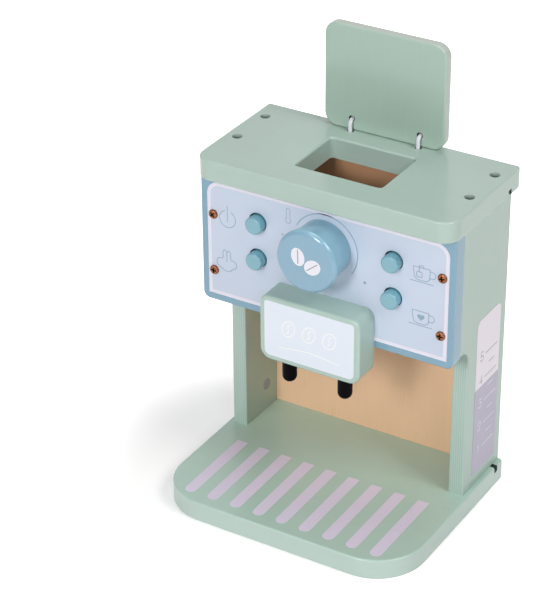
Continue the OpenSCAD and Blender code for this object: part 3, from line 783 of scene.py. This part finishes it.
def makeBorder():
    # pale line along the sheet's own edge, from one side of the spout round to the other
    inset = border["width"] / 2
    left, right = panelLow[0] + inset, panelHigh[0] - inset
    low, high = panelLow[2] + inset, panelHigh[2] - inset
    corners = [(spoutLow[0], low), (left, low), (left, high), (right, high), (right, low),
               (spoutHigh[0], low)]
    bend = border["cornerRadius"] - inset
    path = rounded(corners, [0, 0, bend, bend, 0, 0], closed=False, steps=14)
    return inkLine(panelFace, path, border["width"], roundEnds=(False, False))


makePiece("panel_border", [makeBorder()], "paleInk", "housing")

icons = {
    "line": 0.55,
    "powerPlace": (-74.3, 195.7),
    "powerRadius": 6.2,
    "powerArc": (110, 422.6),
    "powerBar": [(-74.4, 205.5), (-74.4, 193.9)],
    "foam": [(-78.6, 165.6), (-78.3, 170.2), (-76.9, 171.9), (-75.4, 170.6), (-73.9, 171.8),
             (-72.6, 170.2), (-72.2, 165.3), (-69.6, 164.9), (-67.8, 162.6), (-68.6, 159.9),
             (-71.0, 158.6), (-73.2, 156.4), (-77.0, 156.2), (-79.2, 157.6), (-82.0, 158.9),
             (-83.2, 161.6), (-81.9, 164.6)],
    "foamBar": [(-75.4, 170.6), (-75.4, 163.4)],
    "gaugeMiddle": -27.7,
    "gaugeTop": 216.2,
    "gaugeBulb": (207.2, 1.9),
    "gaugeHalf": 1.3,
    "gaugeLine": 0.44,
    "knobArcPlace": (0, 194.8),
    "knobArc": (24, 152, -34),          # radius, first and last angle
    "knobArcLine": 0.715,
    "minDot": ((-32.1, 196.0), 0.7),
    "maxDot": ((29.5, 177.5), 1.1),
    "cups": [(64.2, 200), (64.2, 168.3)],   # left ends of the two rims
    "heart": ((6.4, -4.3), 5.6),        # on the lower cup: its middle from that end, its square
    "tag": [(2.5, -7), (6.4, -7), (6.4, -3.3), (2.5, -3.3)],
    "tagRadius": 0.8,
    "string": [(4.5, -3.3), (4.3, 0.6), (6.6, 1.6), (7.6, 0.2)],
}

# corners counted from the left end of the rim
cup = {
    "bowl": [(0, 0), (12.1, 0), (11.9, -9.1), (1.2, -9.1)],
    "bowlRadius": [0.2, 0.2, 3.4, 3.4],
    "handle": [(12.1, -1.2), (16.4, -1.4), (15.7, -6.2), (11.8, -6)],
    "handleRadius": [0, 2.2, 2.2, 0],
    "saucer": [(-2.1, -10.4), (14.5, -10.4)],
}


def cupLines(rim, line):
    # side view of a cup: rim and bowl in one closed line, then the handle and the saucer
    bowl = rim + rounded(cup["bowl"], cup["bowlRadius"], steps=9)
    handle = rim + rounded(cup["handle"], cup["handleRadius"], closed=False)
    return [(bowl, line, True), (handle, line), (rim + cup["saucer"], line)]


def heart(middle, square, steps=40):
    # the usual heart curve, held by a square 34 wide: across 16 sin^3 t,
    # up 13 cos t - 5 cos 2t - 2 cos 3t - cos 4t
    t = fullTurn(steps)
    across = 16 * np.sin(t) ** 3
    up = 13 * np.cos(t) - 5 * np.cos(2 * t) - 2 * np.cos(3 * t) - np.cos(4 * t)
    return np.array(middle) + np.stack([across, up], axis=1) * square / 34


def makeIcons():
    line = icons["line"]
    bulbZ, bulbR = icons["gaugeBulb"]
    x, half = icons["gaugeMiddle"], icons["gaugeHalf"]
    neck = np.degrees(np.arcsin(half / bulbR))
    gauge = np.vstack([arc((x, bulbZ), bulbR, 90 + neck, 450 - neck, 20),
                       arc((x, icons["gaugeTop"] - half), half, 0, 180, 9)])
    upperCup, lowerCup = np.array(icons["cups"])
    heartPlace, square = icons["heart"]
    ways = [
        (arc(icons["powerPlace"], icons["powerRadius"], *icons["powerArc"]), line),
        (icons["powerBar"], line),
        (through(icons["foam"], closed=True), line, True),
        (icons["foamBar"], line),
        (gauge, icons["gaugeLine"], True),
        (arc(icons["knobArcPlace"], *icons["knobArc"], 90), icons["knobArcLine"]),
        (upperCup + rounded(icons["tag"], icons["tagRadius"]), line, True),
        (upperCup + through(icons["string"]), line),
        *cupLines(upperCup, line),
        *cupLines(lowerCup, line),
    ]
    marks = [inkLine(panelFace, *way) for way in ways]
    marks += [inkDot(panelFace, *icons["minDot"]), inkDot(panelFace, *icons["maxDot"]),
              inkFill(panelFace, heart(lowerCup + heartPlace, square))]
    return marks


makePiece("panel_icons", makeIcons(), "lineInk", "housing")

beans = {
    "left": {"middle": (-5.4, 2.9), "half": (4.9, 6.4), "lean": 12, "slit": [(-5.5, 8), (-5.3, -1.8)]},
    "right": {"middle": (5.3, -2.2), "half": (6.3, 5.2), "lean": 32, "slit": [(1.2, -5.2), (8.9, 1)]},
    "slitWidth": 0.6,
}


def leaning(flat, lean):
    # (x cos a - y sin a, x sin a + y cos a)
    tilt = math.radians(lean)
    return flat @ np.array([[math.cos(tilt), math.sin(tilt)], [-math.sin(tilt), math.cos(tilt)]])


def ellipse(middle, half, lean, steps=40):
    # across = a cos t, up = b sin t, then turned by the lean
    t = fullTurn(steps)
    flat = np.stack([half[0] * np.cos(t), half[1] * np.sin(t)], axis=1)
    return np.array(middle) + leaning(flat, lean)


pair = [beans["left"], beans["right"]]
makePiece("knob_beans", [inkFill(knobFace, ellipse(bean["middle"], bean["half"], bean["lean"]))
                         for bean in pair], "beanInk", "knob")
slitFace = dict(knobFace, origin=knobFace["origin"] + inkDepth * knobFace["out"])
makePiece("bean_slits", [inkLine(slitFace, bean["slit"], beans["slitWidth"]) for bean in pair],
          "slitInk", "knob")

stripes = {
    "count": 9,
    "half": 71.8,            # middle of the outermost stripe
    "width": 8.3,
    "front": -70.0,          # tip of the round end
    "rear": 0.7,
}


def makeStripes():
    places = np.linspace(-stripes["half"], stripes["half"], stripes["count"])
    return [inkLine(trayFace, [(x, stripes["front"] + stripes["width"] / 2), (x, stripes["rear"])],
                    stripes["width"], roundEnds=(True, False)) for x in places]


makePiece("tray_stripes", makeStripes(), "stripeInk", "housing")

scale = {
    "radius": (0.8, 4.5),    # of the label's lower and upper corners
    "line": 0.7,
    "numberY": 40.2,
    "numberSize": (3.9, 6.6),
    "firstZ": 41.4,
    "pitch": 18.4,
    "lineY": (45.5, 62.5),
    "dashY": (50.8, 58.3),
}

# strokes of plain figures in a box 1 wide and 1 high, and the radius of each corner
figures = {
    1: [([(0.15, 0.78), (0.6, 1), (0.6, 0)], 0)],
    2: [([(0.03, 0.72), (0.03, 1), (0.97, 1), (0.97, 0.55), (0, 0), (1, 0)],
         [0, 0.26, 0.26, 0.2, 0, 0])],
    3: [([(0.05, 1), (0.92, 1), (0.45, 0.6), (1, 0.55), (1, 0), (0, 0), (0, 0.16)],
         [0, 0, 0, 0.26, 0.3, 0.16, 0])],
    4: [([(0.72, 0), (0.72, 1), (0, 0.28), (1, 0.28)], 0)],
    5: [([(0.9, 1), (0.18, 1), (0.08, 0.52), (1, 0.64), (1, 0), (0, 0), (0, 0.16)],
         [0, 0, 0, 0.3, 0.3, 0.16, 0])],
}


def makeScale(dark):
    # rung k stands at firstZ + k * pitch: a figure and a long line, a short dash half a pitch on
    width, height = scale["numberSize"]
    paths = []
    for number, strokes in figures.items():
        z = scale["firstZ"] + (number - 1) * scale["pitch"]
        if (z > scaleSplit) == dark:
            for corners, radius in strokes:
                flat = rounded(np.array(corners) * (width, height), np.array(radius) * height,
                               closed=False)
                paths.append(flat + (scale["numberY"] - width / 2, z - height / 2))
            paths.append([(y, z) for y in scale["lineY"]])
        dashZ = z + scale["pitch"] / 2
        if (dashZ > scaleSplit) == dark and number < len(figures):
            paths.append([(y, dashZ) for y in scale["dashY"]])
    return [inkLine(scaleFace, path, scale["line"]) for path in paths]


def makeLabel():
    # sheet as thick as the label's own box, with rounded corners
    (_, front, bottom), (_, rear, top) = scaleLow, scaleHigh
    corners = [(front, bottom), (rear, bottom), (rear, top), (front, top)]
    outline = rounded(corners, np.repeat(scale["radius"], 2), steps=12)
    return inkFill(scaleFace, outline, 0, scaleHigh[0] - scaleLow[0])


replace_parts(makePiece("side_label_sheet", [makeLabel()], "scaleFilm", "housing"),
            "side_label")
makePiece("scale_upper_marks", makeScale(True), "scaleInk", "housing")
makePiece("scale_lower_marks", makeScale(False), "paleInk", "housing")

badge = {
    "line": 0.75,
    "beanHalf": (4.6, 6.2),
    "beanStep": 15.5,
    "beanRise": 3.2,
    "lean": -24,
    "slit": [(0, -0.62), (0.16, -0.3), (-0.16, 0.3), (0, 0.62)],    # in half lengths of a bean
    "swing": (-12.5, 2.4, 22),  # line below the beans: drop, rise of its ends and half length
}


def makeBadge():
    # plain ornament for the spout: three outlined beans in a row over a gently bent line
    middle = (spoutLabelLow + spoutLabelHigh)[[0, 2]] / 2
    slit = leaning(np.array(badge["slit"]) * badge["beanHalf"][1], badge["lean"])
    ways = []
    for step in (-1, 0, 1):
        place = middle + (step * badge["beanStep"], badge["beanRise"])
        ways.append((ellipse(place, badge["beanHalf"], badge["lean"]), badge["line"], True))
        ways.append((through(place + slit), badge["line"]))
    drop, rise, half = badge["swing"]
    bent = [middle + (-half, drop), middle + (0, drop + rise), middle + (half, drop)]
    ways.append((through(bent), badge["line"]))
    return [inkLine(spoutFace, *way) for way in ways]


makePiece("spout_badge", makeBadge(), "badgeInk", "housing")
print("printed marks done")


# screws: pan heads with a cross recess, threaded shanks

screw = {
    "headHeight": 1.7,
    "dome": 0.22,
    "rim": 0.9,              # rounding of the head's rim
    "armHalf": 0.6,          # of the cross recess
    "reach": 0.62,           # of the recess, as a share of the head's radius
    "recess": (1.15, 0.7),   # depth in the middle and at the ends of the arms
    "wall": 0.04,            # width of the recess's walls
    "gap": 0.3,              # from a wall to the next grid line
    "rimLines": (0.25, 0.12, 0.04, 0),  # grid lines that follow the rim, inward from it
    "tarnish": (0.1, 0.3),   # faces with painted shade lie this far above the seat and below the head's top
    "shank": 1.55,
    "core": 1.12,
    "pitch": 1.25,
    "plain": 4,              # length of shank without a thread
    "plainShare": 0.94,      # its radius as a share of the thread's
    "sunk": 0.5,             # start of the shank inside the head
    "tip": 3,
    "tipShare": 0.06,
    "blunt": 0.05,           # how far the point is cut short
    "sides": 12,
    "perTurn": 5,            # rows of points in one turn of the thread
}

# axis that the screws lie along, way that their heads look, and head radius
screwSets = {
    "front_screws": (1, -1, panHead),
    "top_screws": (2, 1, sunkHead),
    "base_screws": (2, -1, sunkHead),
    "spout_screws": (1, 1, panHead),
    "keeper_screws": (1, 1, panHead),
    "knob_screw": (1, 1, panHead),
}


def screwHead(radius):
    # grid lines u, v stand close together at the recess's walls; s is the larger of |u| and |v|,
    # and a point moves out from its place in the square to the circle of radius s as s grows.
    # height = head - dome (r/R)^2 - what the rim's arc takes off, less the recess
    arm, reach, wall, gap = screw["armHalf"], screw["reach"] * radius, screw["wall"], screw["gap"]
    rimLines = radius - np.array(screw["rimLines"])
    lines = np.concatenate([[0, arm / 2, arm, arm + wall], np.linspace(arm + gap, reach, 4),
                            [reach + wall], np.linspace(reach + gap, rimLines[0], 4), rimLines[1:]])
    lines = np.concatenate([-lines[:0:-1], lines])
    u, v = np.meshgrid(lines, lines, indexing="ij")
    s = np.maximum(abs(u), abs(v))
    pull = np.clip((s - arm) / (radius - arm), 0, 1)
    stretch = 1 - pull + pull * s / np.maximum(np.hypot(u, v), 1e-9)
    x, y = u * stretch, v * stretch
    r = np.hypot(x, y)
    over = np.clip(r - (radius - screw["rim"]), 0, screw["rim"])
    z = (screw["headHeight"] - screw["dome"] * (r / radius) ** 2
         - screw["rim"] + np.sqrt(screw["rim"] ** 2 - over ** 2))
    slim, long = np.minimum(abs(u), abs(v)), s
    inside = (slim < arm + wall / 2) & (long < reach + wall / 2)
    deep, shallow = screw["recess"]
    z = np.where(inside, z - deep + (deep - shallow) * s / reach, z)
    top = np.stack([x, y, z], axis=-1)
    loop = np.concatenate([top[0, :-1], top[:-1, -1], top[-1, :0:-1], top[:0:-1, 0]])
    below = np.stack([loop, loop * (1, 1, 0), loop * 0])
    return [patch(top), patch(below, False, True)]


def screwShank(length):
    # r = core + thread (1 - |2f - 1|), f the fraction of depth / pitch + a / turn, narrowing to
    # the point over the last millimetres
    depth = np.arange(-screw["sunk"], length, screw["pitch"] / screw["perTurn"])
    angle = fullTurn(screw["sides"])
    f = (depth[:, None] / screw["pitch"] + angle[None, :] / (2 * np.pi)) % 1
    thread = screw["core"] + (screw["shank"] - screw["core"]) * (1 - abs(2 * f - 1))
    r = np.where(depth[:, None] < screw["plain"], screw["shank"] * screw["plainShare"], thread)
    r = r * np.clip((length - depth[:, None]) / screw["tip"], screw["tipShare"], 1)
    skin = np.stack([r * np.cos(angle), r * np.sin(angle),
                     np.broadcast_to(-depth[:, None], r.shape)], axis=-1)
    poles = [np.repeat([[[0, 0, -d]]], screw["sides"], 1)
             for d in (depth[0], length - screw["blunt"])]
    return patch(np.concatenate([poles[0], skin, poles[1]]), False, True)


def paintRecessShade(piece, places, axis, seat, out, head):
    # faces that lie below the head's own surface and within the recess's reach get a dark brown as
    # painted shade
    faces = piece.data.polygons
    middle = np.zeros(len(faces) * 3)
    faces.foreach_get("center", middle)
    middle = middle.reshape(-1, 3) / mm
    height = (middle[:, axis] - seat) * out
    flat = np.delete(middle[:, None] - places[None], axis, 2)
    away = np.linalg.norm(flat, axis=2).min(1)
    above, below = screw["tarnish"]
    hollow = ((away < screw["reach"] * head + above) & (height > above)
              & (height < screw["headHeight"] - below))
    piece.data.materials.append(finishes["recessShade"])
    faces.foreach_set("material_index", hollow.astype(np.int32))


def makeScrews():
    turns = np.random.default_rng(4)
    for node, (axis, out, head) in screwSets.items():
        low, high = boxOf(node)
        outward = np.eye(3)[axis] * out
        first = np.eye(3)[(axis + 1) % 3]
        second = np.cross(outward, first)
        seat = (low if out < 0 else high)[axis] - out * screw["headHeight"]
        length = (high - low)[axis] - screw["headHeight"]
        flat = [np.unique(np.round([low[k] + head, high[k] - head], 2)) for k in range(3)]
        flat[axis] = np.array([seat])
        parts = screwHead(head) + [screwShank(length)]
        patches = []
        places = np.stack(np.meshgrid(*flat, indexing="ij"), axis=-1).reshape(-1, 3)
        for place in places:
            turn = turns.uniform(0, np.pi / 2)
            side = np.cos(turn) * first + np.sin(turn) * second
            frameOf = np.stack([side, np.cross(outward, side), outward])
            patches += [(points @ frameOf + place, quads) for points, quads in parts]
        piece = makePiece(node + "_cut", patches, "bronze",
                          "knob" if node == "knob_screw" else "housing", sharp=35)
        paintRecessShade(piece, places, axis, seat, out, head)
        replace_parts(piece, node)
        print(node, "screws:", len(patches) // len(parts))


makeScrews()


# button springs: compression springs with closed ends

springs = {
    "wire": 0.38,
    "turns": 8,
    "perTurn": 22,
    "sides": 8,
    "closed": 2.3,           # rise of the first and last turn, in wire radii
}


def makeSpring(node):
    # wire along x = R cos 2 pi t, z = R sin 2 pi t, y rising slowly in the first and last turn
    low, high = boxOf(node)
    wire = springs["wire"]
    coil = (high[0] - low[0]) / 2 - wire
    middle = (low + high) / 2
    t = np.linspace(0, springs["turns"], springs["turns"] * springs["perTurn"] + 1)
    rise = springs["closed"] * wire
    start, stop = low[1] + wire, high[1] - wire
    y = np.interp(t, [0, 1, springs["turns"] - 1, springs["turns"]],
                  [start, start + rise, stop - rise, stop])
    path = np.stack([middle[0] + coil * np.cos(2 * np.pi * t), y,
                     middle[2] + coil * np.sin(2 * np.pi * t)], axis=1)
    piece = makePiece(node + "_coil", [tube(path, wire, springs["sides"], (0, 1, 0))], "zinc",
                      "housing")
    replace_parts(piece, node)
    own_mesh(piece)


for node in ("spring_upper_left", "spring_lower_left", "spring_upper_right", "spring_lower_right"):
    makeSpring(node)
print("springs done")


# hinge cords: braided elastic with a knot at each end

cord = {
    "radius": 1.36,
    "braid": 0.12,           # how far the strands stand out
    "strands": 7,
    "lay": 0.9,              # radians that a strand turns in a millimetre
    "sides": 42,
    "route": [(67.1, 222), (67.1, 230), (67.1, 238), (67, 241.5), (66.9, 243.8), (67.1, 245.6),
              (67.9, 247), (69.2, 247.7), (71.5, 247.8), (74, 248.2)],
    "gap": 0.3,              # between the rings of points along the cord
    "knots": [(68.3, 221.85), (74.6, 248.4)],
    "knotRadius": 3.05,
    "knotCord": 1.15,
}


def braided(path, radius, across, closed=False):
    # radius over the way along s and round a: two families of strands cross, and the higher
    # of cos n(a + lay s) and cos n(a - lay s) stands out
    step = np.linalg.norm(np.roll(path, -1, 0) - path, axis=1)
    s = np.concatenate([[0], np.cumsum(step[:-1])])[:, None]
    angle = fullTurn(cord["sides"])[None, :]
    n = cord["strands"]
    weave = np.maximum(np.cos(n * angle + cord["lay"] * n * s), np.cos(n * angle - cord["lay"] * n * s))
    return tube(path, radius - cord["braid"] * (1 - weave) / 2, cord["sides"], across, closed)


def knotPath(middle, steps=110):
    # trefoil of radius 3: x = sin t + 2 sin 2t, z = cos t - 2 cos 2t, y = -sin 3t
    t = fullTurn(steps)
    curl = np.stack([np.sin(t) + 2 * np.sin(2 * t), -np.sin(3 * t), np.cos(t) - 2 * np.cos(2 * t)],
                    axis=1)
    return np.array(middle) + curl * (cord["knotRadius"] - cord["knotCord"]) / 3


def spaced(path, gap):
    # points at even gaps along a path
    way = np.concatenate([[0], np.cumsum(np.linalg.norm(np.diff(path, axis=0), axis=1))])
    even = np.linspace(0, way[-1], int(way[-1] / gap) + 1)
    return np.stack([np.interp(even, way, path[:, k]) for k in range(path.shape[1])], axis=1)


def makeCord(node):
    x = middleOf(node)[0]
    route = spaced(through(cord["route"], steps=12), cord["gap"])
    path = np.column_stack([np.full(len(route), x), route])
    parts = [braided(path, cord["radius"], (1, 0, 0))]
    for y, z in cord["knots"]:
        knot = spaced(knotPath((x, y, z)), cord["gap"])[:-1]
        parts.append(braided(knot, cord["knotCord"], (0, 1, 0), True))
    piece = makePiece(node + "_braid", parts, "cordWhite", sharp=80)
    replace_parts(piece, node)
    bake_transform(piece)
    print(node, "length", round(float(np.linalg.norm(np.diff(path, axis=0), axis=1).sum()), 1), "mm")


for node in ("hinge_cord_left", "hinge_cord_right"):
    makeCord(node)
